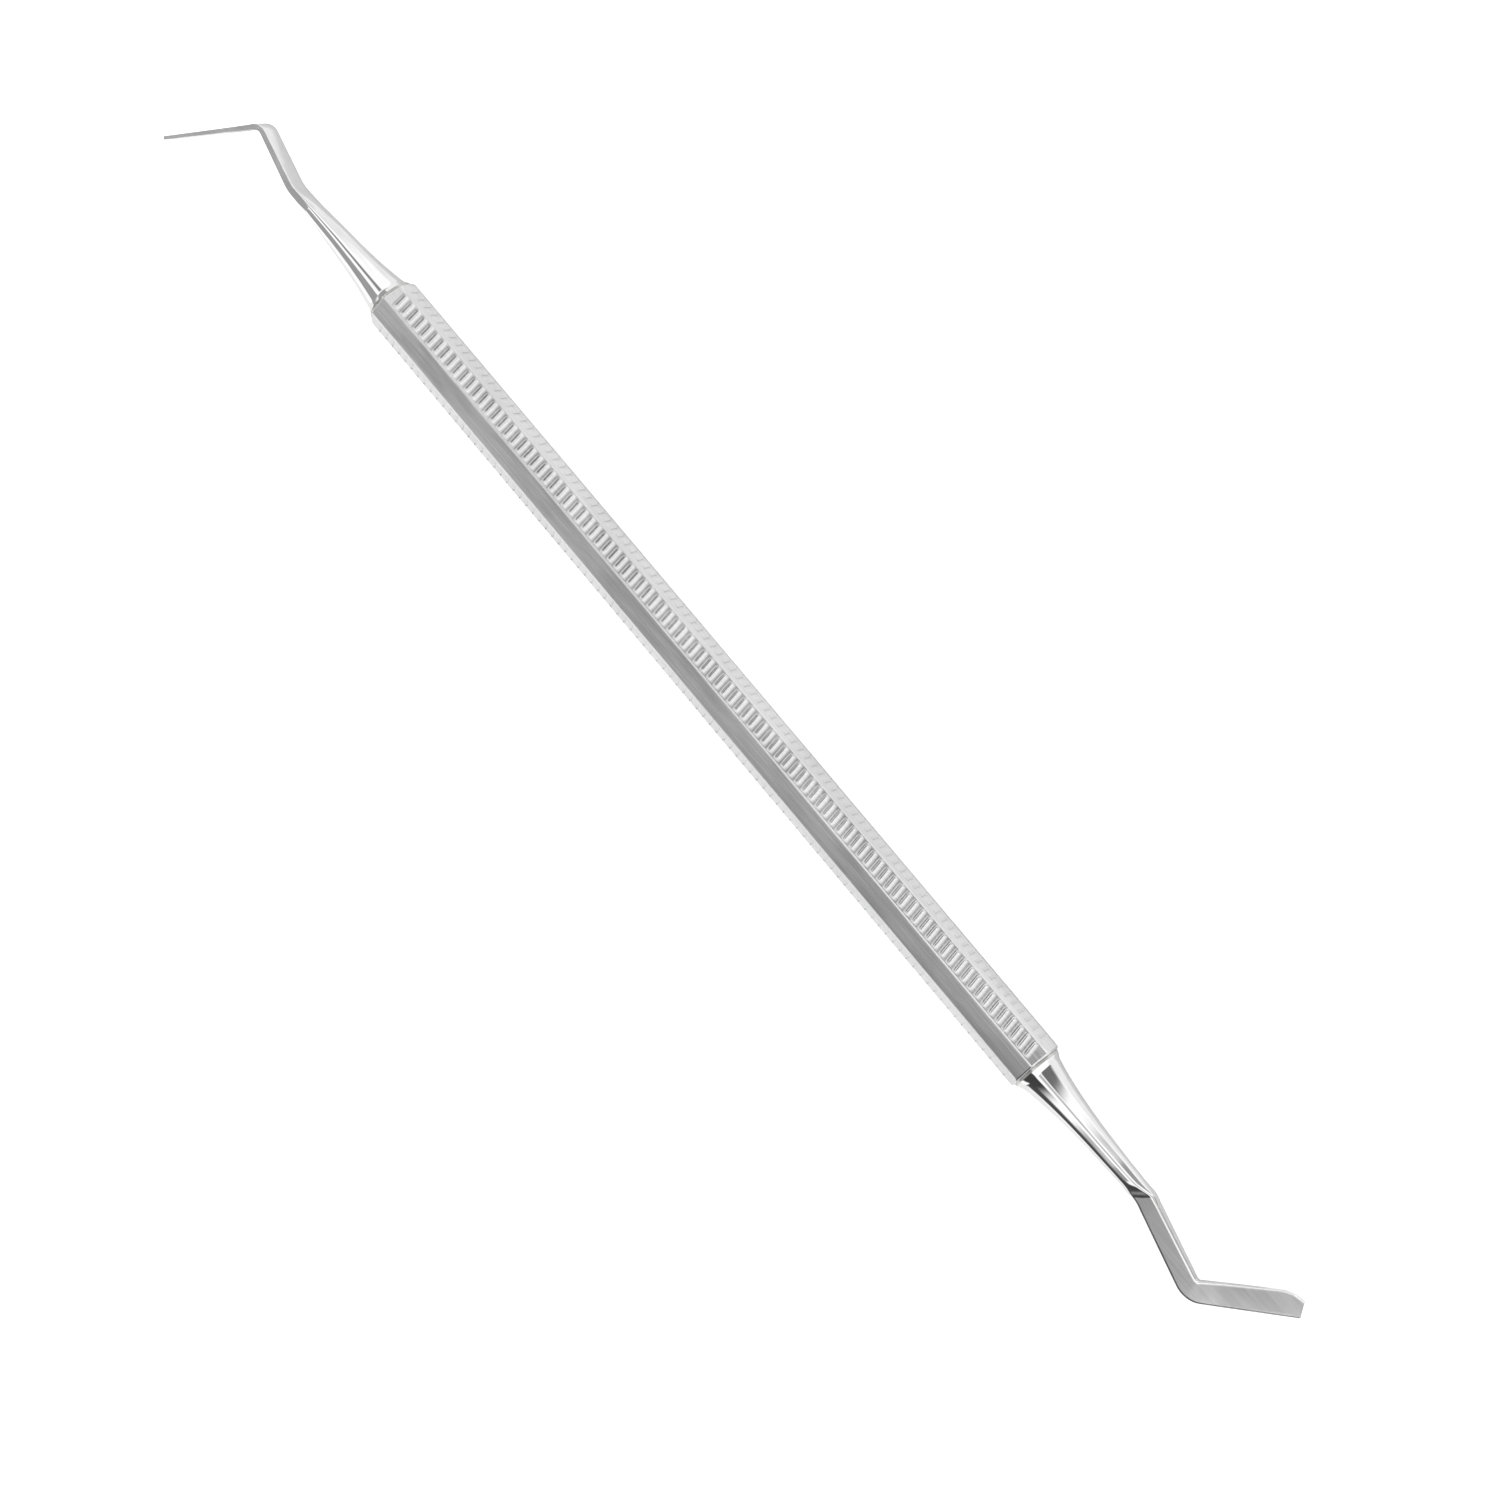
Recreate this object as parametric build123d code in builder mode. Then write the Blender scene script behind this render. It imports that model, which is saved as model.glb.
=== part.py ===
"""Double-ended dental filling spatula, in millimetres.

An octagonal, serrated stainless handle holds a forged working end in a blind bore at each end.
Both working ends are bent in one plane, parallel to the handle's two smooth facets. The hoe end's
blade stands square to that plane, and the hatchet end's blade lies in it.

+X runs along the handle to the hatchet end, and +Z is the outward normal of the upper smooth facet.
The origin is the middle of the lower smooth facet, on which the instrument rests.
"""

from build123d import *
from math import cos, exp, floor, radians, sin, tan
import os

os.makedirs("parts", exist_ok=True)

# Handle: a solid octagonal bar
handle_length = 108.5
handle_flats = 6.0
handle_end_chamfer = 0.25

# Serrations: short grooves across the six gripping facets, none on the two smooth ones
groove_pitch = 1.12
groove_width = 0.36
groove_depth = 0.14
groove_margin = 0.35
plain_length_at_ends = 0.75

# Joint: a round tang brazed in a blind bore, with a thin ring of braze showing between the faces
bore_diameter = 3.1
bore_depth = 11.5
tang_clearance = 0.05
tang_end_gap = 0.5
tang_chamfer = 0.3
braze_thickness = 0.25
braze_step = 0.06

# Shank: the handle's octagon necks down in a collar, then in a long hollow flare to a waist
collar_length = 0.85
collar_radius = 2.6
waist_radius = 1.0
flare_length = 6.9
shank_length = 12.0
flare_steps = 9

# Centre line of the bends, the same for both ends but for these lengths and angles
neck_distance = 17.4
neck_kink = 16.2
neck_bend_radius = 4.5
hatchet_segment_length = 10.45
hatchet_blade_angle = 47.6
hatchet_blade_length = 12.0
hatchet_corner_radius = 1.7
hoe_segment_length = 7.65
hoe_blade_angle = 50.5
hoe_blade_length = 13.7
hoe_corner_radius = 1.3
bend_step = 10.0

# Flattened stock of the hatchet end: its width lies in the plane of the bends
hatchet_neck_width = 2.15
hatchet_neck_thickness = 1.55
hatchet_corner_width = 2.4
hatchet_corner_thickness = 0.8
hatchet_root_width = 2.6
hatchet_root_thickness = 0.62
hatchet_tip_width = 2.9

# Flattened stock of the hoe end: its width stands upright
hoe_neck_width = 2.5
hoe_neck_thickness = 0.9
hoe_corner_width = 2.5
hoe_corner_thickness = 0.68
hoe_blade_width = 2.45
hoe_root_thickness = 0.52

# Blades, alike at both ends: one corner is rounded off and the end is cut a little askew
root_distance = 3.0
tip_thickness = 0.38
edge_break = 0.1
nose_radius = 3.5
nose_turn = 44.0
end_lean = 15.0
trim_spare = 1.0

OCTAGON_CORNER = (1 - tan(radians(22.5))) / 2
axis_height = handle_flats / 2
end_face = handle_length / 2
joint_flats = handle_flats - 2 * handle_end_chamfer
smooth_half_width = handle_flats / 2 * tan(radians(22.5))


def across(x, side=1):
    """Plane square to the handle's axis, x from its middle, facing out of the given end."""
    return Plane(origin=(side * x, 0, axis_height), x_dir=(0, side, 0), z_dir=(side, 0, 0))


def octagon(flats, mode=Mode.ADD):
    """Regular octagon with a flat uppermost, sized across flats."""
    RegularPolygon(flats / 2, 8, major_radius=False, rotation=22.5, mode=mode)


def centre_line(side, segment_length, blade_angle, blade_length, corner_radius):
    """Centre line of a working end, from the handle's end face to just past the blade's tip."""
    kink = radians(neck_kink)
    rise = radians(blade_angle)
    reach = blade_length + trim_spare
    neck = Vector(end_face + neck_distance, 0)
    corner = neck + Vector(cos(kink), -sin(kink)) * segment_length
    tip = corner + Vector(cos(rise), sin(rise)) * reach
    points = [Vector(end_face, 0), neck, corner, tip]
    placed = [(side * point.X, side * point.Y, axis_height) for point in points]
    with BuildLine() as line:
        FilletPolyline(*placed, radius=[neck_bend_radius, corner_radius])
    return line.wire()


def section_plane(line, distance):
    """Plane square to the centre line: its x lies in the plane of the bends, its y is upright."""
    place = line.position_at(distance, PositionMode.LENGTH)
    heading = line.tangent_at(distance, PositionMode.LENGTH)
    return Plane(origin=place, x_dir=heading.cross(Vector(0, 0, -1)), z_dir=heading)


def section(plane, in_plane, upright, corner):
    """One eight-sided section of the forging: a rectangle with its corners taken off."""
    with BuildSketch(plane) as outline:
        Rectangle(in_plane, upright)
        chamfer(outline.vertices(), corner)
    return outline.sketch


def shank_flats(distance):
    """Size across flats of the hollow flare, a distance from the handle's end face."""
    swell = (collar_radius - waist_radius) * exp(-(distance - collar_length) / flare_length)
    return 2 * (waist_radius + swell) * cos(radians(22.5))


def bend_stations(middle, radius, turn):
    """Distances of the sections round a bend, whose middle is the given distance along the line."""
    steps = max(2, round(turn / bend_step))
    arc = radius * radians(turn)
    return [middle + arc * (step / steps - 0.5) for step in range(steps + 1)]


def shank_sections(line):
    """Regular octagons from the braze through the collar and the flare to the waist."""
    places = [collar_length + (shank_length - collar_length) * (step / flare_steps) ** 1.5
              for step in range(flare_steps + 1)]
    sizes = [(braze_thickness, joint_flats)] + [(place, shank_flats(place)) for place in places]
    return [section(section_plane(line, place), flats, flats, flats * OCTAGON_CORNER)
            for place, flats in sizes]


def strip_sections(line, segment_length, blade_angle, corner_radius, neck, corner, root, tip):
    """Sections from the waist to past the tip. Each size is (in the plane of the bends, upright)."""
    turn = neck_kink + blade_angle
    # A bend's arc is shorter than its two tangents, which the places of the next stations allow for
    neck_saving = neck_bend_radius * (2 * tan(radians(neck_kink / 2)) - radians(neck_kink))
    corner_saving = corner_radius * (2 * tan(radians(turn / 2)) - radians(turn))
    neck_middle = neck_distance - neck_saving / 2
    corner_middle = neck_distance + segment_length - neck_saving - corner_saving / 2
    waist_flats = shank_flats(shank_length)
    waist = (waist_flats, waist_flats)
    stages = [
        (shank_length, waist, waist_flats * OCTAGON_CORNER),
        (neck_middle, neck, 2 * edge_break),
        (corner_middle, corner, edge_break),
        (corner_middle + root_distance, root, edge_break),
        (line.length, tip, edge_break),
    ]
    stations = bend_stations(neck_middle, neck_bend_radius, neck_kink)
    stations += [corner_middle - segment_length / 3]
    stations += bend_stations(corner_middle, corner_radius, turn)
    stations += [corner_middle + root_distance, line.length]
    return [section_between(line, distance, stages) for distance in stations]


def section_between(line, distance, stages):
    """A section whose sizes run straight from the stage before it to the stage after it."""
    for before, after in zip(stages, stages[1:]):
        if distance <= after[0]:
            share = (distance - before[0]) / (after[0] - before[0])
            in_plane, upright = [a + (b - a) * share for a, b in zip(before[1], after[1])]
            corner = before[2] + (after[2] - before[2]) * share
            return section(section_plane(line, distance), in_plane, upright, corner)


def tip_waste(line, width, rounded_side):
    """What is cut off the blade: its nose is rounded towards rounded_side, and its end is askew."""
    middle = line.length - trim_spare
    place = line.position_at(middle, PositionMode.LENGTH)
    heading = line.tangent_at(middle, PositionMode.LENGTH)
    half = width / 2
    nose_run = nose_radius * sin(radians(nose_turn))
    nose_drop = nose_radius * (1 - cos(radians(nose_turn)))
    heel = half + trim_spare
    heel_back = (half - nose_drop + heel) * tan(radians(end_lean))
    far = 2 * trim_spare
    flat = Plane(origin=place, x_dir=heading, z_dir=heading.cross(rounded_side))
    with BuildSketch(flat) as waste:
        with BuildLine():
            nose = JernArc((-nose_run, half), (1, 0), nose_radius, -nose_turn)
            Polyline(nose @ 1, (-heel_back, -heel), (far, -heel), (far, heel),
                     (-nose_run, heel), nose @ 0)
        make_face()
    return waste.sketch


# A round tang, short of the bore's floor and clear of its wall, is part of each forging
tang_length = bore_depth - tang_end_gap
with BuildPart() as tang:
    with BuildSketch(across(end_face - tang_length)):
        Circle(bore_diameter / 2 - tang_clearance)
    extrude(amount=tang_length + braze_thickness)
    chamfer(tang.faces().sort_by(Axis.X)[0].edges(), tang_chamfer)

# The serrating cutter stands for one groove station: it clears the smooth facets and their edges
with BuildPart() as groove_cutter:
    with BuildSketch(across(-groove_width / 2)):
        Rectangle(2 * handle_flats, 2 * handle_flats)
        Rectangle(2 * (smooth_half_width + groove_margin), 2 * handle_flats, mode=Mode.SUBTRACT)
        octagon(handle_flats - 2 * groove_depth, mode=Mode.SUBTRACT)
    extrude(amount=groove_width)

serrated_length = handle_length - 2 * (handle_end_chamfer + plain_length_at_ends) - groove_width
groove_count = floor(serrated_length / groove_pitch) + 1
groove_places = [(groove_pitch * (i - (groove_count - 1) / 2), 0, 0) for i in range(groove_count)]

with BuildPart() as handle:
    with BuildSketch(across(-end_face)):
        octagon(handle_flats)
    extrude(amount=handle_length)
    chamfer(handle.faces().filter_by(Axis.X).edges(), handle_end_chamfer)
    with Locations(across(end_face), across(end_face, -1)):
        Hole(bore_diameter / 2, depth=bore_depth)
    with Locations(*groove_places):
        add(groove_cutter.part, mode=Mode.SUBTRACT)
handle.part.label = "handle"
export_step(handle.part, "parts/handle.step")

hatchet_line = centre_line(
    1, hatchet_segment_length, hatchet_blade_angle, hatchet_blade_length, hatchet_corner_radius)
hatchet_strip = strip_sections(
    hatchet_line, hatchet_segment_length, hatchet_blade_angle, hatchet_corner_radius,
    neck=(hatchet_neck_width, hatchet_neck_thickness),
    corner=(hatchet_corner_width, hatchet_corner_thickness),
    root=(hatchet_root_width, hatchet_root_thickness),
    tip=(hatchet_tip_width, tip_thickness))
inner_side_of_bend = Vector(-sin(radians(hatchet_blade_angle)), cos(radians(hatchet_blade_angle)), 0)
with BuildPart() as hatchet_end:
    loft(shank_sections(hatchet_line) + hatchet_strip, ruled=True)
    add(tang.part)
    extrude(tip_waste(hatchet_line, hatchet_tip_width, inner_side_of_bend),
            amount=hatchet_tip_width, both=True, mode=Mode.SUBTRACT)
hatchet_end.part.label = "hatchet_end"
export_step(hatchet_end.part, "parts/hatchet_end.step")

hoe_line = centre_line(-1, hoe_segment_length, hoe_blade_angle, hoe_blade_length, hoe_corner_radius)
hoe_strip = strip_sections(
    hoe_line, hoe_segment_length, hoe_blade_angle, hoe_corner_radius,
    neck=(hoe_neck_thickness, hoe_neck_width),
    corner=(hoe_corner_thickness, hoe_corner_width),
    root=(hoe_root_thickness, hoe_blade_width),
    tip=(tip_thickness, hoe_blade_width))
with BuildPart() as hoe_end:
    loft(shank_sections(hoe_line) + hoe_strip, ruled=True)
    with Locations(Rotation(0, 0, 180)):
        add(tang.part)
    extrude(tip_waste(hoe_line, hoe_blade_width, Vector(0, 0, -1)),
            amount=hoe_blade_width, both=True, mode=Mode.SUBTRACT)
hoe_end.part.label = "hoe_end"
export_step(hoe_end.part, "parts/hoe_end.step")

for name, side in (("hatchet_braze_ring", 1), ("hoe_braze_ring", -1)):
    with BuildPart() as braze_ring:
        with BuildSketch(across(end_face, side)):
            octagon(joint_flats - 2 * braze_step)
            Circle(bore_diameter / 2, mode=Mode.SUBTRACT)
        extrude(amount=braze_thickness)
    braze_ring.part.label = name
    export_step(braze_ring.part, f"parts/{name}.step")

print("grooves along the handle:", groove_count)
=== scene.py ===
# %% [markdown]
# # A double-ended filling spatula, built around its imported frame
#
# The instrument is a serrated octagonal bar with a forged, polished working end brazed into each
# end of it. The frame holds the sizes and places, in metres. Everything made below stands in for a
# node of that frame, or gives it its finish.

# %% Load the frame
from math import cos, exp, pi, radians, sin, sqrt, tan

import bmesh
import bpy
from mathutils import Matrix, Vector


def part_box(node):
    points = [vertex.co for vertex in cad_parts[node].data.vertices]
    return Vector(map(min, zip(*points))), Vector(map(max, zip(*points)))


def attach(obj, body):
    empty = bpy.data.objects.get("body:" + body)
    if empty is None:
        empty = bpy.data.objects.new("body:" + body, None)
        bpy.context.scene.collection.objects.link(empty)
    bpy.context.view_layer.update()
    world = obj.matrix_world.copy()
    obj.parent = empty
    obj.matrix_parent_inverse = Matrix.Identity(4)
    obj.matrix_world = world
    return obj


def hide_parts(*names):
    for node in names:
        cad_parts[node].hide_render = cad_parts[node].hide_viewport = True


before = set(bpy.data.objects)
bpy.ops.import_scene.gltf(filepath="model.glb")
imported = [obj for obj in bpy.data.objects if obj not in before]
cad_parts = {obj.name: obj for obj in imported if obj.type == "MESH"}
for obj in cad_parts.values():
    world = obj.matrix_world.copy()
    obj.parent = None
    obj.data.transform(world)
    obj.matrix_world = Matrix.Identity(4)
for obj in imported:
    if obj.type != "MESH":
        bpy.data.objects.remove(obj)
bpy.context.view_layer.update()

MM = 0.001
scene = bpy.context.scene
print("nodes in the frame:", ", ".join(sorted(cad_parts)))

# %% [markdown]
# ## What the frame says
#
# The handle's box gives the octagon's size and the height of its axis above the table. A braze
# ring's box gives the thickness of the joint. Sizes that a box can't give, such as the bends, are
# the forging's own drawing values, named where the forgings are made.

# %% Read the handle and the joints
handle_low, handle_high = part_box("handle")
flats = handle_high.z - handle_low.z
axis_height = (handle_high.z + handle_low.z) / 2
half_handle = (handle_high.x - handle_low.x) / 2
ring_low, ring_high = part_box("hatchet_braze_ring")
braze_thickness = ring_high.x - ring_low.x
braze_flats = ring_high.z - ring_low.z
print(f"handle {2000 * half_handle:.1f} mm long, {1000 * flats:.2f} mm across flats")


# %% [markdown]
# ## The camera
#
# A long lens looks down on the instrument from the side of its smooth facet, so both the smooth
# facet and the serrated one above it show. The camera is turned about its own line of sight until
# the handle runs from the upper left to the lower right. That turn is worked out from the handle's
# own direction, which is easier to read than three angles.

# %% Place the camera
lens_mm = 75.6
camera_place = Vector((68.6, 154.0, 292.7)) * MM
camera_aim = Vector((9.3, -1.75, 3.0)) * MM
handle_slope = radians(49.96)


def look(camera, place, aim, slope):
    """Points the camera so that +X runs down the picture at the given slope."""
    ahead = (aim - place).normalized()
    along = Vector((1, 0, 0))
    along = (along - ahead * along.dot(ahead)).normalized()
    across = ahead.cross(along)
    right = along * cos(slope) - across * sin(slope)
    down = along * sin(slope) + across * cos(slope)
    turn = Matrix((right, -down, -ahead)).transposed()
    camera.matrix_world = Matrix.Translation(place) @ turn.to_4x4()


camera_data = bpy.data.cameras.new("camera")
camera_data.lens = lens_mm
camera_data.clip_start = 0.01
camera = bpy.data.objects.new("camera", camera_data)
scene.collection.objects.link(camera)
look(camera, camera_place, camera_aim, handle_slope)
scene.camera = camera
print(f"camera {camera_place.length * 1000:.0f} mm from the handle's middle")


# %% [markdown]
# ## A bench for meshes
#
# Each piece starts as a bmesh, shaped by operators and then written to one object that sits at the
# origin. Edges sharper than a limit stay crisp, and so does an edge where a narrow strip meets a
# facet more than four times its size. The facets then keep their own direction, and only the narrow
# rounded edges between them turn the light. Shaded smooth throughout, a polished facet looks like a
# pillow.

# %% Helpers for making pieces
crease_angle = radians(40)
strip_bend = radians(3)
strip_ratio = 4
round_segments = 32


def finish_piece(bm, name, material, node):
    """Writes a bmesh to a new object that stands for a frame node."""
    bmesh.ops.recalc_face_normals(bm, faces=bm.faces)
    if bm.calc_volume(signed=True) < 0:
        bmesh.ops.reverse_faces(bm, faces=bm.faces)
    for face in bm.faces:
        face.smooth = True
    for edge in bm.edges:
        if len(edge.link_faces) == 2:
            small, large = sorted(face.calc_area() for face in edge.link_faces)
            bend = edge.calc_face_angle(0)
            beside_facet = large > strip_ratio * small and bend > strip_bend
            edge.smooth = bend < crease_angle and not beside_facet
    mesh = bpy.data.meshes.new(name)
    bm.to_mesh(mesh)
    bm.free()
    mesh.materials.append(material)
    piece = bpy.data.objects.new(name, mesh)
    scene.collection.objects.link(piece)
    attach(piece, "root")
    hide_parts(node)
    print(f"{name}: {len(mesh.polygons)} faces")


def edges_of(verts):
    """The edges that a new outline is made of."""
    return list({edge for vert in verts for edge in vert.link_edges})


def extrude_ring(bm, ring, shift):
    """Draws a ring of edges out along +X and returns the new ring."""
    drawn = bmesh.ops.extrude_edge_only(bm, edges=ring)["geom"]
    verts = [item for item in drawn if isinstance(item, bmesh.types.BMVert)]
    bmesh.ops.translate(bm, verts=verts, vec=(shift, 0, 0))
    fresh = set(verts)
    return [item for item in drawn
            if isinstance(item, bmesh.types.BMEdge) and set(item.verts) <= fresh]


def ring_verts(ring):
    """The vertices of a ring of edges."""
    return list({vert for edge in ring for vert in edge.verts})


def round_outline(bm, x, radius):
    """A circle square to the handle's axis, x from its middle."""
    verts = bmesh.ops.create_circle(bm, segments=round_segments, radius=radius)["verts"]
    bmesh.ops.rotate(bm, verts=verts, matrix=Matrix.Rotation(pi / 2, 3, "Y"))
    bmesh.ops.translate(bm, verts=verts, vec=(x, 0, 0))
    return edges_of(verts)


# %% [markdown]
# ## The steel's surface
#
# Metal shows its finish in how it spreads light. Three effects are shared by the materials, so each
# is a node group with its own inputs. The grain is fine lines along the bar, left by polishing. The
# clouding is a soft, blotchy change in how much light comes back, left by handling and washing.
# Wear brightens the convex lips, where a cloth or a tray rubs. All of them read the piece's own
# coordinates, so the pattern stays on the metal wherever it is looked at from.

# %% Node group helpers
def start_group(name, inputs, outputs):
    """An empty shader node group with named sockets. Inputs are (name, default)."""
    group = bpy.data.node_groups.new(name, "ShaderNodeTree")
    for label, default in inputs:
        socket = group.interface.new_socket(label, in_out="INPUT", socket_type="NodeSocketFloat")
        socket.default_value = default
    for label in outputs:
        group.interface.new_socket(label, in_out="OUTPUT", socket_type="NodeSocketFloat")
    return group, group.nodes.new("NodeGroupInput"), group.nodes.new("NodeGroupOutput")


def calculate(tree, operation, a, b=None, c=None):
    """A Math node. Each operand is a number or a socket."""
    node = tree.nodes.new("ShaderNodeMath")
    node.operation = operation
    for socket, operand in zip(node.inputs, (a, b, c)):
        if operand is None:
            continue
        if isinstance(operand, (int, float)):
            socket.default_value = operand
        else:
            tree.links.new(operand, socket)
    return node.outputs[0]


def remap(tree, value, low, high, to_low=0.0, to_high=1.0):
    """A smooth Map Range node."""
    node = tree.nodes.new("ShaderNodeMapRange")
    node.interpolation_type = "SMOOTHSTEP"
    tree.links.new(value, node.inputs["Value"])
    node.inputs["From Min"].default_value = low
    node.inputs["From Max"].default_value = high
    node.inputs["To Min"].default_value = to_low
    node.inputs["To Max"].default_value = to_high
    return node.outputs["Result"]


def own_coordinates(tree):
    """The piece's own coordinates, one socket for each axis."""
    place = tree.nodes.new("ShaderNodeTexCoord")
    parts = tree.nodes.new("ShaderNodeSeparateXYZ")
    tree.links.new(place.outputs["Object"], parts.inputs["Vector"])
    return parts.outputs


def stretched_noise(tree, stretch, scale, detail):
    """Noise on the piece's own coordinates, drawn out along the bar by the given stretch."""
    place = tree.nodes.new("ShaderNodeTexCoord")
    mapping = tree.nodes.new("ShaderNodeMapping")
    mapping.inputs["Scale"].default_value = (1 / stretch, 1, 1)
    noise = tree.nodes.new("ShaderNodeTexNoise")
    noise.inputs["Detail"].default_value = detail
    tree.links.new(place.outputs["Object"], mapping.inputs["Vector"])
    tree.links.new(mapping.outputs["Vector"], noise.inputs["Vector"])
    if isinstance(scale, (int, float)):
        noise.inputs["Scale"].default_value = scale
    else:
        tree.links.new(scale, noise.inputs["Scale"])
    return noise.outputs["Fac"]


# %% Three shared effects
def make_grain_group():
    """Fine lines along the bar, about 0 to 1 with a middle of 0.5."""
    group, source, sink = start_group("lengthwise_grain", [("Scale", 6000.0)], ["Grain"])
    lines = stretched_noise(group, 40.0, source.outputs["Scale"], 3.0)
    group.links.new(remap(group, lines, 0.3, 0.7), sink.inputs["Grain"])
    return group


def make_cloud_group():
    """Soft blotches, drawn out a little along the bar."""
    group, source, sink = start_group("handling_clouds", [("Scale", 500.0)], ["Cloud"])
    blotches = stretched_noise(group, 4.0, source.outputs["Scale"], 4.0)
    group.links.new(remap(group, blotches, 0.35, 0.65), sink.inputs["Cloud"])
    return group


def make_wear_group():
    """Where convex lips are rubbed bright, broken up by noise."""
    group, source, sink = start_group("rubbed_lips", [("Start", 0.52), ("Full", 0.6)], ["Wear"])
    geometry = group.nodes.new("ShaderNodeNewGeometry")
    node = group.nodes.new("ShaderNodeMapRange")
    group.links.new(geometry.outputs["Pointiness"], node.inputs["Value"])
    group.links.new(source.outputs["Start"], node.inputs["From Min"])
    group.links.new(source.outputs["Full"], node.inputs["From Max"])
    breakup = remap(group, stretched_noise(group, 1.0, 2500.0, 2.0), 0.35, 0.6, 0.3, 1.0)
    group.links.new(calculate(group, "MULTIPLY", node.outputs["Result"], breakup), sink.inputs["Wear"])
    return group


grain_group = make_grain_group()
cloud_group = make_cloud_group()
wear_group = make_wear_group()
print("shared effects:", ", ".join(group.name for group in bpy.data.node_groups))


# %% [markdown]
# ## Steel and braze
#
# One function makes each metal from the shared effects, and each metal gives it its own values. The
# handle is satin: it blurs what it mirrors. The working ends are polished nearly to a mirror as far
# as their necks, and ground duller beyond them. The braze is a silver alloy, a little warmer than
# the steel and left as it set.

# %% Make the metals
ground_from = 71.0 * MM
ground_wholly = 73.5 * MM
ground_roughness = 0.13


def place_group(tree, group, **values):
    """Puts a shared effect into a material with this material's values."""
    node = tree.nodes.new("ShaderNodeGroup")
    node.node_tree = group
    for label, value in values.items():
        node.inputs[label].default_value = value
    return node.outputs[0]


def satin_blades(tree, gloss):
    """Dulls the gloss beyond the necks, where the flats and blades are ground and not polished."""
    outwards = calculate(tree, "ABSOLUTE", own_coordinates(tree)["X"])
    ground = remap(tree, outwards, ground_from, ground_wholly)
    return calculate(tree, "MULTIPLY_ADD", ground, ground_roughness, gloss)


def make_metal(name, dull, bright, roughness, grain_scale, cloud_scale, bump_height, ground=False):
    """A metal whose colour runs from dull to bright, and whose gloss varies between two values."""
    material = bpy.data.materials.new(name)
    material.use_nodes = True
    tree = material.node_tree
    bsdf = tree.nodes["Principled BSDF"]
    bsdf.inputs["Metallic"].default_value = 1
    grain = place_group(tree, grain_group, Scale=grain_scale)
    cloud = place_group(tree, cloud_group, Scale=cloud_scale)
    wear = place_group(tree, wear_group)
    evenness = calculate(tree, "MULTIPLY_ADD", grain, 0.35, calculate(tree, "MULTIPLY", cloud, 0.45))
    shine = calculate(tree, "ADD", evenness, calculate(tree, "MULTIPLY", wear, 0.6))
    tint = tree.nodes.new("ShaderNodeMix")
    tint.data_type = "RGBA"
    tint.inputs["A"].default_value = (*dull, 1)
    tint.inputs["B"].default_value = (*bright, 1)
    tree.links.new(shine, tint.inputs["Factor"])
    tree.links.new(tint.outputs["Result"], bsdf.inputs["Base Color"])
    low, high = roughness
    gloss = calculate(tree, "MULTIPLY_ADD", cloud, high - low, low)
    gloss = calculate(tree, "MULTIPLY_ADD", grain, (high - low) / 2, gloss)
    if ground:
        gloss = satin_blades(tree, gloss)
    tree.links.new(gloss, bsdf.inputs["Roughness"])
    bump = tree.nodes.new("ShaderNodeBump")
    bump.inputs["Distance"].default_value = bump_height
    tree.links.new(grain, bump.inputs["Height"])
    tree.links.new(bump.outputs["Normal"], bsdf.inputs["Normal"])
    return material


satin_steel = make_metal(
    "satin_steel", (0.64, 0.64, 0.64), (0.80, 0.80, 0.80), (0.17, 0.24), 5000.0, 400.0, 0.0000015)
polished_steel = make_metal(
    "polished_steel", (0.76, 0.76, 0.76), (0.88, 0.88, 0.88), (0.04, 0.07), 3500.0, 300.0, 0.0000006,
    ground=True)
silver_braze = make_metal(
    "silver_braze", (0.58, 0.575, 0.56), (0.78, 0.775, 0.75), (0.2, 0.3), 4000.0, 600.0, 0.000001)

# %% [markdown]
# ## The serrated handle
#
# The real handle is an octagonal bar, drawn with slightly rounded edges. Six of its facets are
# serrated with short grooves across them, and two are left smooth. A boolean cut of nearly six
# hundred grooves would leave long thin triangles, so one pitch of the bar is made as a clean grid,
# its grooves are pressed into it by moving vertices, and copies of it are laid end to end.

# %% Sizes of the serrations
groove_pitch = 1.12 * MM
groove_width = 0.5 * MM
groove_depth = 0.14 * MM
groove_count = 95
edge_round = 0.09 * MM
grip_edge_round = 0.36 * MM
margin_by_smooth = 0.05 * MM
margin_by_serrated = 0.03 * MM
groove_runout = 0.7 * groove_width
narrowest_end = 0.05
tolerance = 1e-7
facet_columns = 12
smooth_roll = 0.03 * MM
bore_radius = 1.55 * MM
bore_depth = 11.5 * MM
end_chamfer = 0.25 * MM
half_facet = flats / 2 * tan(pi / 8)

# Each serrated facet: its outward direction in degrees from +Z towards +Y, how far its grooves are
# shifted along the bar as a share of the pitch, and how much they lean
serrated_facets = {
    45: (0.0, -0.2), 90: (-0.35, 0.03), 135: (0.15, -0.08),
    225: (0.3, -0.15), 270: (-0.2, 0.05), 315: (0.1, 0.0),
}


def facet_frame(angle):
    """A facet's outward direction and the direction across it, towards the next facet."""
    a = radians(angle)
    return Vector((0, sin(a), cos(a))), Vector((0, cos(a), -sin(a)))


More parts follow.
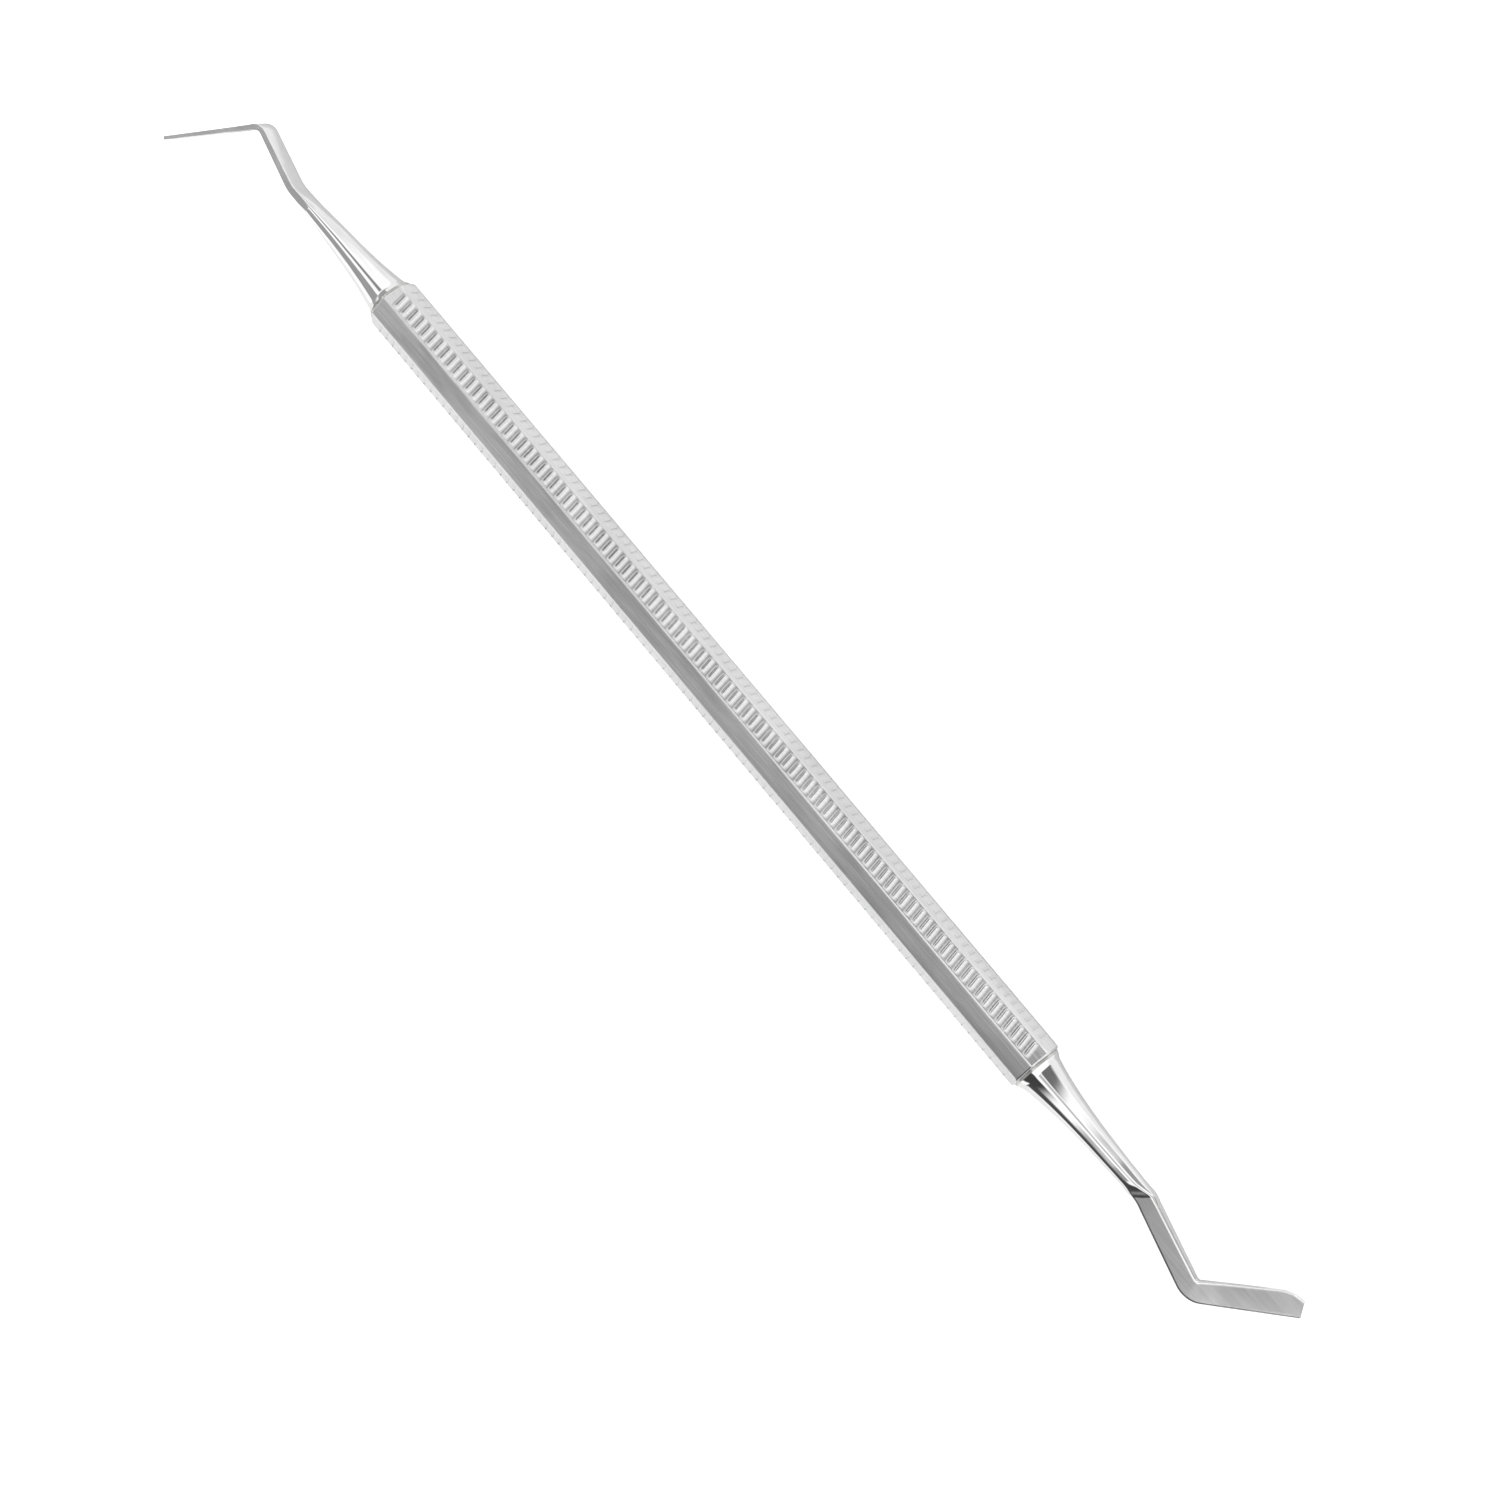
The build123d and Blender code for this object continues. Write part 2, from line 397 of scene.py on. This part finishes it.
def octagon_outline(bm, x, across_flats, by_smooth, by_grip):
    """An octagon square to the handle's axis. The corners between gripping facets are rounder."""
    verts = bmesh.ops.create_circle(bm, segments=8, radius=across_flats / 2 / cos(pi / 8))["verts"]
    turn = Matrix.Rotation(pi / 2, 3, "Y") @ Matrix.Rotation(pi / 8, 3, "Z")
    bmesh.ops.rotate(bm, verts=verts, matrix=turn)
    rounded = []
    beside_smooth = [vert for vert in verts if abs(vert.co.z) > abs(vert.co.y)]
    between_grips = [vert for vert in verts if abs(vert.co.z) < abs(vert.co.y)]
    for corners, rounding in ((beside_smooth, by_smooth), (between_grips, by_grip)):
        rounded += bmesh.ops.bevel(
            bm, geom=corners, offset=rounding, offset_type="OFFSET", segments=3,
            profile=0.5, affect="VERTICES", material=-1)["verts"]
    bmesh.ops.translate(bm, verts=rounded, vec=(x, 0, 0))
    return edges_of(rounded)


def cut_into_columns(bm, ring, columns):
    """Divides the ring's flat edges, so that grooves and a slight roll can be pressed in."""
    for edge in ring:
        if edge.calc_length() > half_facet:
            bmesh.ops.subdivide_edges(bm, edges=[edge], cuts=columns - 1)
    return list(bm.edges)


def spread(share):
    """Moves evenly spaced columns towards a facet's two sides, where the grooves end."""
    return sin(share * pi / 2)


def facet_limits(angle):
    """Where across a facet its flat part begins and ends, and where its grooves do."""
    after_smooth = angle in (45, 225)
    before_smooth = angle in (135, 315)
    low = (edge_round if after_smooth else grip_edge_round) - half_facet
    high = half_facet - (edge_round if before_smooth else grip_edge_round)
    start = low + (margin_by_smooth if after_smooth else margin_by_serrated)
    stop = high - (margin_by_smooth if before_smooth else margin_by_serrated)
    return low, high, start, stop


def press_vertex(vert, angle, shift, lean):
    """Moves a vertex into its groove. False if it isn't inside the flat part of this facet."""
    out, across = facet_frame(angle)
    low, high, start, stop = facet_limits(angle)
    u = vert.co.dot(across)
    on_facet = abs(vert.co.dot(out) - flats / 2) < tolerance
    if not on_facet or u < low + tolerance or u > high - tolerance:
        return False
    centre = (low + high) / 2
    half_span = (high - low) / 2
    u = centre + half_span * spread((u - centre) / half_span)
    reach = (stop - start) / 2
    share = (reach - abs(u - (start + stop) / 2)) / groove_runout
    share = max(0.0, min(1.0, share))
    fullness = sqrt(share * (2 - share))
    row = vert.co.x
    depth = 0.0
    if abs(row) <= groove_width / 2 + tolerance:
        depth = groove_depth * fullness * (1 - abs(2 * row / groove_width))
        row *= max(fullness, narrowest_end)
    place = across * u + out * (flats / 2 - depth)
    vert.co = Vector((row + shift * groove_pitch + lean * u, place.y, place.z))
    return True


def press_grooves(bm):
    """Moves one pitch of the bar's vertices into the grooves. The rows are at known places."""
    for vert in bm.verts:
        for angle, (shift, lean) in serrated_facets.items():
            if press_vertex(vert, angle, shift, lean):
                break


def roll_smooth_facets(bm):
    """Lets each smooth facet fall away a little towards one edge, as buffing leaves it."""
    for vert in bm.verts:
        upwards = 1 if vert.co.z > 0 else -1
        share = -vert.co.y * upwards / half_facet
        if abs(abs(vert.co.z) - flats / 2) < tolerance and share > 0:
            vert.co.z -= smooth_roll * share ** 2 * upwards


# %% Make the handle
def make_handle():
    """One pitch of the bar, copied along it and closed at both ends."""
    bm = bmesh.new()
    rows = [-0.5, -0.3, -0.08, 0.08, 0.3, 0.5]
    places = [-groove_pitch / 2] + [groove_width * row for row in rows] + [groove_pitch / 2]
    outline = octagon_outline(bm, places[0], flats, edge_round, grip_edge_round)
    ring = cut_into_columns(bm, outline, facet_columns)
    for before, after in zip(places, places[1:]):
        ring = extrude_ring(bm, ring, after - before)
    press_grooves(bm)
    roll_smooth_facets(bm)
    cell = list(bm.verts) + list(bm.edges) + list(bm.faces)
    bmesh.ops.translate(bm, verts=bm.verts, vec=(-groove_pitch * (groove_count - 1) / 2, 0, 0))
    for step in range(1, groove_count):
        copy = bmesh.ops.duplicate(bm, geom=cell)["geom"]
        verts = [item for item in copy if isinstance(item, bmesh.types.BMVert)]
        bmesh.ops.translate(bm, verts=verts, vec=(groove_pitch * step, 0, 0))
    bmesh.ops.remove_doubles(bm, verts=bm.verts, dist=tolerance)
    close_handle_ends(bm)
    bmesh.ops.translate(bm, verts=bm.verts, vec=(0, 0, axis_height))
    finish_piece(bm, "serrated_handle", satin_steel, "handle")


def close_handle_ends(bm):
    """Draws both ends out to their plain length, breaks their edges and sinks a bore in each."""
    open_edges = [edge for edge in bm.edges if edge.is_boundary]
    end_scale = 1 - 2 * end_chamfer / flats
    roll_scale = 0.985
    rims = [(end_chamfer, 1.0), (end_chamfer * 0.6, roll_scale), (0.0, end_scale / roll_scale)]
    for side in (-1, 1):
        ring = [edge for edge in open_edges if side * edge.verts[0].co.x > 0]
        for inward, scale in rims:
            ring = extrude_ring(bm, ring, 0)
            bmesh.ops.scale(bm, verts=ring_verts(ring), vec=(1, scale, scale))
            for vert in ring_verts(ring):
                vert.co.x = side * (half_handle - inward)
        mouth = round_outline(bm, side * half_handle, bore_radius)
        bmesh.ops.bridge_loops(bm, edges=ring + mouth)
        floor_ring = extrude_ring(bm, mouth, -side * bore_depth)
        bmesh.ops.holes_fill(bm, edges=floor_ring, sides=0)


make_handle()

# %% [markdown]
# ## The line of the bends
#
# Both working ends are forged straight and then bent twice in one plane: a slight kink at the neck
# one way, and a sharp corner back the other way, where the blade starts. The line down the middle
# of the metal is a chain of straights and arcs. Walking along it gives the place and the heading of
# any cross-section, with no curve object needed.

# %% Walk along the middle of a working end
neck_distance = 17.4 * MM
neck_kink = radians(16.2)
neck_bend_radius = 4.5 * MM
tip_spare = 1.0 * MM


def bend_legs(segment_length, blade_angle, blade_length, corner_radius):
    """Straights and arcs from the handle's end face to past the tip: (length, turn) of each."""
    turn = neck_kink + blade_angle
    neck_tangent = neck_bend_radius * tan(neck_kink / 2)
    corner_tangent = corner_radius * tan(turn / 2)
    return [
        (neck_distance - neck_tangent, 0.0),
        (neck_bend_radius * neck_kink, -neck_kink),
        (segment_length - neck_tangent - corner_tangent, 0.0),
        (corner_radius * turn, turn),
        (blade_length - corner_tangent + tip_spare, 0.0),
    ]


def walk(legs, distance):
    """How far along +X and +Y the line has got, and its heading, after the given distance."""
    x = y = heading = 0.0
    for length, turn in legs:
        gone = min(distance, length)
        if turn:
            radius = length / turn
            swept = heading + gone / radius
            x += radius * (sin(swept) - sin(heading))
            y -= radius * (cos(swept) - cos(heading))
            heading = swept
        else:
            x += gone * cos(heading)
            y += gone * sin(heading)
        distance -= gone
        if distance <= 0:
            break
    return x, y, heading


# %% [markdown]
# ## Cross-sections of the forging
#
# The forging starts as an octagon that matches the handle, necks down in a hollow flare and is then
# hammered flat. Every cross-section is the same square with its corners cut off and rounded, only
# scaled and cut differently: an octagon is a square that has lost 29% of its side at each corner,
# and a blade is a flat one that has lost less. Because each has the same number of points, one
# bridge joins them all.

# %% Make one cross-section
def section_outline(bm, in_plane, upright, cut, rounding, skew, place, heading, shift):
    """A flattened octagon across the line of the bends. Cut and rounding are shares of its side."""
    verts = bmesh.ops.create_circle(bm, segments=4, radius=sqrt(0.5))["verts"]
    bmesh.ops.rotate(bm, verts=verts, matrix=Matrix.Rotation(pi / 4, 3, "Z"))
    verts = bmesh.ops.bevel(
        bm, geom=verts, offset=cut, offset_type="OFFSET", segments=1,
        profile=0.5, affect="VERTICES", material=-1)["verts"]
    verts = bmesh.ops.bevel(
        bm, geom=verts, offset=rounding, offset_type="OFFSET", segments=3,
        profile=0.5, affect="VERTICES", material=-1)["verts"]
    bmesh.ops.scale(bm, verts=verts, vec=(in_plane, upright, 1))
    bmesh.ops.translate(bm, verts=verts, vec=(shift[0], shift[1], 0))
    slant = Matrix(((1, 0, 0), (0, 1, 0), (skew, 0, 1))).to_4x4()
    bmesh.ops.transform(bm, verts=verts, matrix=slant)
    left = Vector((-sin(heading), cos(heading), 0))
    ahead = Vector((cos(heading), sin(heading), 0))
    turn = Matrix((left, Vector((0, 0, 1)), ahead)).transposed().to_4x4()
    bmesh.ops.transform(bm, verts=verts, matrix=Matrix.Translation(place) @ turn)
    return edges_of(verts)


# %% [markdown]
# ## Sizes along a working end
#
# The flare follows a curve that falls away from the collar, and the flat part runs straight from
# one forged size to the next. The stages below are read from the handle outwards. Each gives a
# distance, the width in the plane of the bends, the upright size, how much of the corners is cut off
# and rounded, and the skew. Where the round shank runs out into the flat, the sections are skewed,
# because the hammer met the metal at a slant and left a slanting crescent there.

# %% Stages and noses
joint_flats = flats - 2 * end_chamfer
collar_length = 0.85 * MM
collar_radius = 2.6 * MM
waist_radius = 1.0 * MM
flare_length = 6.9 * MM
octagon_cut = (1 - tan(pi / 8)) / 2
facet_rounding = 0.12
nose_radius = 3.5 * MM
nose_turn = radians(44)
end_lean = radians(15)


def flare_size(distance):
    """Size across flats of the hollow flare."""
    swell = (collar_radius - waist_radius) * exp(-(distance - collar_length) / flare_length)
    return 2 * (waist_radius + swell) * cos(pi / 8)


def between(stages, distance):
    """The sizes at a distance, run straight from the stage before it to the stage after it."""
    for before, after in zip(stages, stages[1:]):
        if distance <= after[0]:
            share = max(0.0, (distance - before[0]) / (after[0] - before[0]))
            return [a + (b - a) * share for a, b in zip(before[1:], after[1:])]
    return list(stages[-1][1:])


def nose_drop(to_tip):
    """How much the nose's arc has taken off one side, a distance short of the tip."""
    run = nose_radius * sin(nose_turn)
    if to_tip >= run:
        return 0.0
    if to_tip < 0:
        return nose_radius * (1 - cos(nose_turn)) - to_tip * tan(nose_turn)
    return nose_radius - sqrt(nose_radius ** 2 - (run - to_tip) ** 2)


def station_list(legs, stages):
    """Where cross-sections are wanted: close together where the shape turns or changes."""
    length = sum(leg[0] for leg in legs)
    stations = [braze_thickness, collar_length * 0.75, collar_length, collar_length * 1.2]
    distance = collar_length * 1.6
    bends = []
    gone = 0.0
    for leg, turn in legs:
        if turn:
            bends.append((gone, gone + leg))
        gone += leg
    while distance < length - 0.3 * MM:
        stations.append(distance)
        in_bend = any(start - 0.6 * MM < distance < stop + 0.6 * MM for start, stop in bends)
        near_tip = distance > length - tip_spare - nose_radius
        distance += 0.22 * MM if in_bend else 0.3 * MM if near_tip else 0.6 * MM
    return stations + [length]


# %% [markdown]
# ## Forging a working end
#
# The real piece is one forging with a round tang, which is brazed into the handle's bore. The mesh
# is made the same way round: tang, collar, flare, neck, flat and blade, as a chain of outlines
# joined by bridges. The blade is made too long, and a cutting plane trims its tip askew, as a
# grinding wheel would. An inset on the cut face breaks its edge.

# %% Make a working end
tang_radius = 1.5 * MM
tang_length = 11.0 * MM
tang_chamfer = 0.3 * MM
tip_edge_break = 0.05 * MM
tip_half_width = 1.3 * MM


def make_working_end(name, node, side, legs, stages, nose_side):
    """A forging. nose_side is (1, 0) for a nose rounded in the plane, (0, -1) for one rounded down."""
    bm = bmesh.new()
    rings = [
        round_outline(bm, -tang_length, tang_radius - tang_chamfer),
        round_outline(bm, -tang_length + tang_chamfer, tang_radius),
        round_outline(bm, braze_thickness, tang_radius),
    ]
    tip = sum(leg[0] for leg in legs) - tip_spare
    for distance in station_list(legs, stages):
        x, y, heading = walk(legs, distance)
        if distance < stages[0][0]:
            size = flare_size(max(distance, collar_length))
            if distance < collar_length:
                share = (collar_length - distance) / (collar_length - braze_thickness)
                size += (joint_flats - size) * share
            in_plane, upright, cut, rounding, skew = size, size, octagon_cut, facet_rounding, 0.0
        else:
            in_plane, upright, cut, rounding, skew = between(stages, distance)
        drop = nose_drop(tip - distance)
        in_plane -= drop * abs(nose_side[0])
        upright -= drop * abs(nose_side[1])
        shift = (-nose_side[0] * drop / 2, -nose_side[1] * drop / 2)
        rings.append(section_outline(
            bm, in_plane, upright, cut, rounding, skew, Vector((x, y, 0)), heading, shift))
    for before, after in zip(rings, rings[1:]):
        bmesh.ops.bridge_loops(bm, edges=before + after)
    bmesh.ops.holes_fill(bm, edges=rings[0], sides=0)
    trim_tip(bm, legs, tip, nose_side)
    bmesh.ops.translate(bm, verts=bm.verts, vec=(half_handle, 0, axis_height))
    if side < 0:
        bmesh.ops.rotate(bm, verts=bm.verts, matrix=Matrix.Rotation(pi, 3, "Z"))
    finish_piece(bm, name, polished_steel, node)


def trim_tip(bm, legs, tip, nose_side):
    """Cuts the spare length off along a plane that leans back from the nose, and breaks its edge."""
    x, y, heading = walk(legs, tip - tip_edge_break)
    ahead = Vector((cos(heading), sin(heading), 0))
    left = Vector((-sin(heading), cos(heading), 0))
    towards_nose = left * nose_side[0] + Vector((0, 0, 1)) * nose_side[1]
    nose_corner = tip_half_width - nose_radius * (1 - cos(nose_turn))
    on_plane = Vector((x, y, 0)) + towards_nose * nose_corner
    outward = ahead * cos(end_lean) - towards_nose * sin(end_lean)
    cut = bmesh.ops.bisect_plane(
        bm, geom=list(bm.verts) + list(bm.edges) + list(bm.faces), dist=1e-8,
        plane_co=on_plane, plane_no=outward, clear_outer=True)["geom_cut"]
    rim = [item for item in cut if isinstance(item, bmesh.types.BMEdge)]
    cap = bmesh.ops.holes_fill(bm, edges=rim, sides=0)["faces"]
    bmesh.ops.recalc_face_normals(bm, faces=bm.faces)
    bmesh.ops.inset_region(bm, faces=cap, thickness=tip_edge_break, depth=tip_edge_break)


# %% The two working ends
hatchet_legs = bend_legs(10.45 * MM, radians(47.6), 11.98 * MM, 1.7 * MM)
hatchet_corner = sum(leg[0] for leg in hatchet_legs[:3]) + hatchet_legs[3][0] / 2
hatchet_tip = sum(leg[0] for leg in hatchet_legs)
hatchet_flare_end = 9.5 * MM
hatchet_waist = flare_size(hatchet_flare_end)
hatchet_stages = [
    (hatchet_flare_end, hatchet_waist, hatchet_waist, octagon_cut, facet_rounding, 0.0),
    (13.2 * MM, 2.4 * MM, 2.2 * MM, octagon_cut, facet_rounding, 0.0),
    (15.4 * MM, 2.22 * MM, 2.0 * MM, 0.27, facet_rounding, 0.8),
    (17.0 * MM, 2.2 * MM, 1.16 * MM, 0.12, 0.05, 0.8),
    (18.6 * MM, 2.26 * MM, 1.12 * MM, 0.1, 0.05, 0.0),
    (hatchet_corner, 2.42 * MM, 0.82 * MM, 0.08, 0.05, 0.0),
    (hatchet_corner + 3 * MM, 2.6 * MM, 0.62 * MM, 0.08, 0.06, 0.0),
    (hatchet_tip, 2.88 * MM, 0.38 * MM, 0.08, 0.06, 0.0),
]
make_working_end("hatchet_working_end", "hatchet_end", 1, hatchet_legs, hatchet_stages, (1, 0))

hoe_legs = bend_legs(7.65 * MM, radians(50.5), 13.7 * MM, 1.3 * MM)
hoe_corner = sum(leg[0] for leg in hoe_legs[:3]) + hoe_legs[3][0] / 2
hoe_tip = sum(leg[0] for leg in hoe_legs)
hoe_flare_end = 9.5 * MM
hoe_waist = flare_size(hoe_flare_end)
hoe_stages = [
    (hoe_flare_end, hoe_waist, hoe_waist, octagon_cut, facet_rounding, 0.0),
    (14.0 * MM, 1.7 * MM, 2.4 * MM, 0.24, facet_rounding, 0.0),
    (16.4 * MM, 0.95 * MM, 2.45 * MM, 0.06, 0.03, 0.0),
    (hoe_corner, 0.68 * MM, 2.5 * MM, 0.05, 0.02, 0.0),
    (hoe_corner + 3 * MM, 0.54 * MM, 2.45 * MM, 0.05, 0.02, 0.0),
    (hoe_tip, 0.4 * MM, 2.45 * MM, 0.05, 0.02, 0.0),
]
make_working_end("hoe_working_end", "hoe_end", -1, hoe_legs, hoe_stages, (0, -1))

# %% [markdown]
# ## The braze
#
# Molten silver braze is drawn into the joint and leaves a thin bright bead between the collar and
# the handle's end. Seen closely it is an octagonal washer with a bulging rim, so one outline is
# drawn out along the axis, swelling and shrinking as it goes, and closed onto the tang's hole.

# %% Make the braze beads
bead_rim = [(0.0, 0.975), (0.2, 0.993), (0.5, 1.0), (0.8, 0.993), (1.0, 0.975)]
bead_corner = 0.3 * MM


def make_braze(name, node, side):
    """A bulging octagonal washer. The rim is (share of the thickness, share of the size)."""
    bm = bmesh.new()
    rings = [octagon_outline(bm, braze_thickness * along, braze_flats * scale,
                             bead_corner, bead_corner)
             for along, scale in bead_rim]
    inner = [round_outline(bm, braze_thickness * along, bore_radius) for along in (1.0, 0.0)]
    chain = rings + inner + [rings[0]]
    for before, after in zip(chain, chain[1:]):
        bmesh.ops.bridge_loops(bm, edges=before + after)
    bmesh.ops.translate(bm, verts=bm.verts, vec=(half_handle, 0, axis_height))
    if side < 0:
        bmesh.ops.rotate(bm, verts=bm.verts, matrix=Matrix.Rotation(pi, 3, "Z"))
    finish_piece(bm, name, silver_braze, node)


make_braze("hatchet_braze_bead", "hatchet_braze_ring", 1)
make_braze("hoe_braze_bead", "hoe_braze_ring", -1)

# %% [markdown]
# ## The table
#
# Small bright things are laid on a pale sheet that is lit until it is pure white. In the metal's
# reflections the sheet is less bright, and a strip under the handle doesn't glow at all: painted
# shade, standing in for the shade beneath the instrument that the metal mirrors at its edges. That
# draws the thin grey outlines that polished steel has on white. So the sheet has one glow for rays
# that come straight from the camera, and a weaker one for all others.

# %% Make the table
table_half_size = 6.0
table_glow = 0.7
reflected_glow = 0.3
# The strip of painted shade under the handle, seen only in the metal's reflections
painted_shade_half_width = 3.6 * MM
painted_shade_border = 0.8 * MM


def make_table():
    """A large pale sheet, overexposed where the camera looks straight at it, with a strip of painted
    shade under the handle in its reflections.
    """
    bm = bmesh.new()
    bmesh.ops.create_grid(bm, x_segments=1, y_segments=1, size=table_half_size)
    mesh = bpy.data.meshes.new("table_top")
    bm.to_mesh(mesh)
    bm.free()
    material = bpy.data.materials.new("pale_table")
    material.use_nodes = True
    tree = material.node_tree
    bsdf = tree.nodes["Principled BSDF"]
    bsdf.inputs["Base Color"].default_value = (0.9, 0.9, 0.9, 1)
    bsdf.inputs["Roughness"].default_value = 0.8
    bsdf.inputs["Emission Color"].default_value = (1, 1, 1, 1)
    rays = tree.nodes.new("ShaderNodeLightPath")
    # Painted shade: along the handle the sheet gives no glow to reflected rays, standing in for the
    # shade under the instrument
    aside = calculate(tree, "ABSOLUTE", own_coordinates(tree)["Y"])
    outside_painted_shade = remap(tree, aside, painted_shade_half_width, painted_shade_half_width + painted_shade_border)
    reflected = calculate(tree, "MULTIPLY", outside_painted_shade, reflected_glow)
    seen = calculate(tree, "MULTIPLY", rays.outputs["Is Camera Ray"], table_glow)
    glow = calculate(tree, "MAXIMUM", reflected, seen)
    tree.links.new(glow, bsdf.inputs["Emission Strength"])
    mesh.materials.append(material)
    table = bpy.data.objects.new("table_top", mesh)
    scene.collection.objects.link(table)


make_table()

# %% [markdown]
# ## The light
#
# Polished metal has hardly any colour of its own: it shows the room. A studio surrounds it with
# white tent cloth and leaves gaps or hangs grey cards where a facet should look darker. Here
# the tent is the world's background. Each card is a patch of directions with soft borders, which
# replaces the tent's white by its own grey.

# %% Build the tent
tent_white = 1.25
cards = [
    # name, range of x, range of y, softness, radiance
    ("grey_card_in_front", (-0.9, 0.12), (-0.6, -0.3), 0.03, 0.4),
    ("dark_flag_low_in_front", (-0.2, 0.4), (-0.95, -0.56), 0.05, 0.08),
    ("dark_card_in_front_right", (0.24, 0.9), (-0.7, -0.25), 0.05, 0.06),
    ("gap_overhead_left", (-0.8, -0.2), (0.08, 0.4), 0.05, 0.32),
    ("gap_overhead_right", (0.05, 0.5), (0.08, 0.4), 0.05, 0.6),
    ("pale_card_behind_left", (-0.5, -0.2), (0.7, 0.95), 0.08, 0.85),
    ("grey_card_behind", (-0.24, 0.1), (0.7, 0.95), 0.06, 0.36),
    ("dark_card_behind_right", (0.24, 0.62), (0.5, 0.95), 0.05, 0.18),
    ("grey_card_far_left", (-1.1, -0.92), (-0.5, 0.5), 0.02, 0.4),
    ("grey_card_far_right", (0.92, 1.1), (-0.5, 0.5), 0.02, 0.4),
]


def hang_card(tree, axes, backdrop, x_range, y_range, softness, radiance):
    """Lays one card over what is behind it and returns the result."""
    mask = None
    for axis, (low, high) in zip(axes, (x_range, y_range)):
        rising = remap(tree, axis, low - softness, low + softness)
        falling = remap(tree, axis, high - softness, high + softness, 1.0, 0.0)
        side = calculate(tree, "MULTIPLY", rising, falling)
        mask = side if mask is None else calculate(tree, "MULTIPLY", mask, side)
    difference = calculate(tree, "SUBTRACT", radiance, backdrop)
    return calculate(tree, "MULTIPLY_ADD", difference, mask, backdrop)


def build_tent():
    """The world: a white tent with cards hung in it."""
    world = bpy.data.worlds.new("light_tent")
    world.use_nodes = True
    tree = world.node_tree
    direction = tree.nodes.new("ShaderNodeTexCoord").outputs["Generated"]
    parts = tree.nodes.new("ShaderNodeSeparateXYZ")
    tree.links.new(direction, parts.inputs["Vector"])
    light = tent_white
    for name, x_range, y_range, softness, radiance in cards:
        light = hang_card(tree, (parts.outputs["X"], parts.outputs["Y"]), light,
                          x_range, y_range, softness, radiance)
    background = tree.nodes["Background"]
    tree.links.new(light, background.inputs["Strength"])
    background.inputs["Color"].default_value = (1, 1, 1, 1)
    scene.world = world


build_tent()
scene.view_settings.view_transform = "Standard"
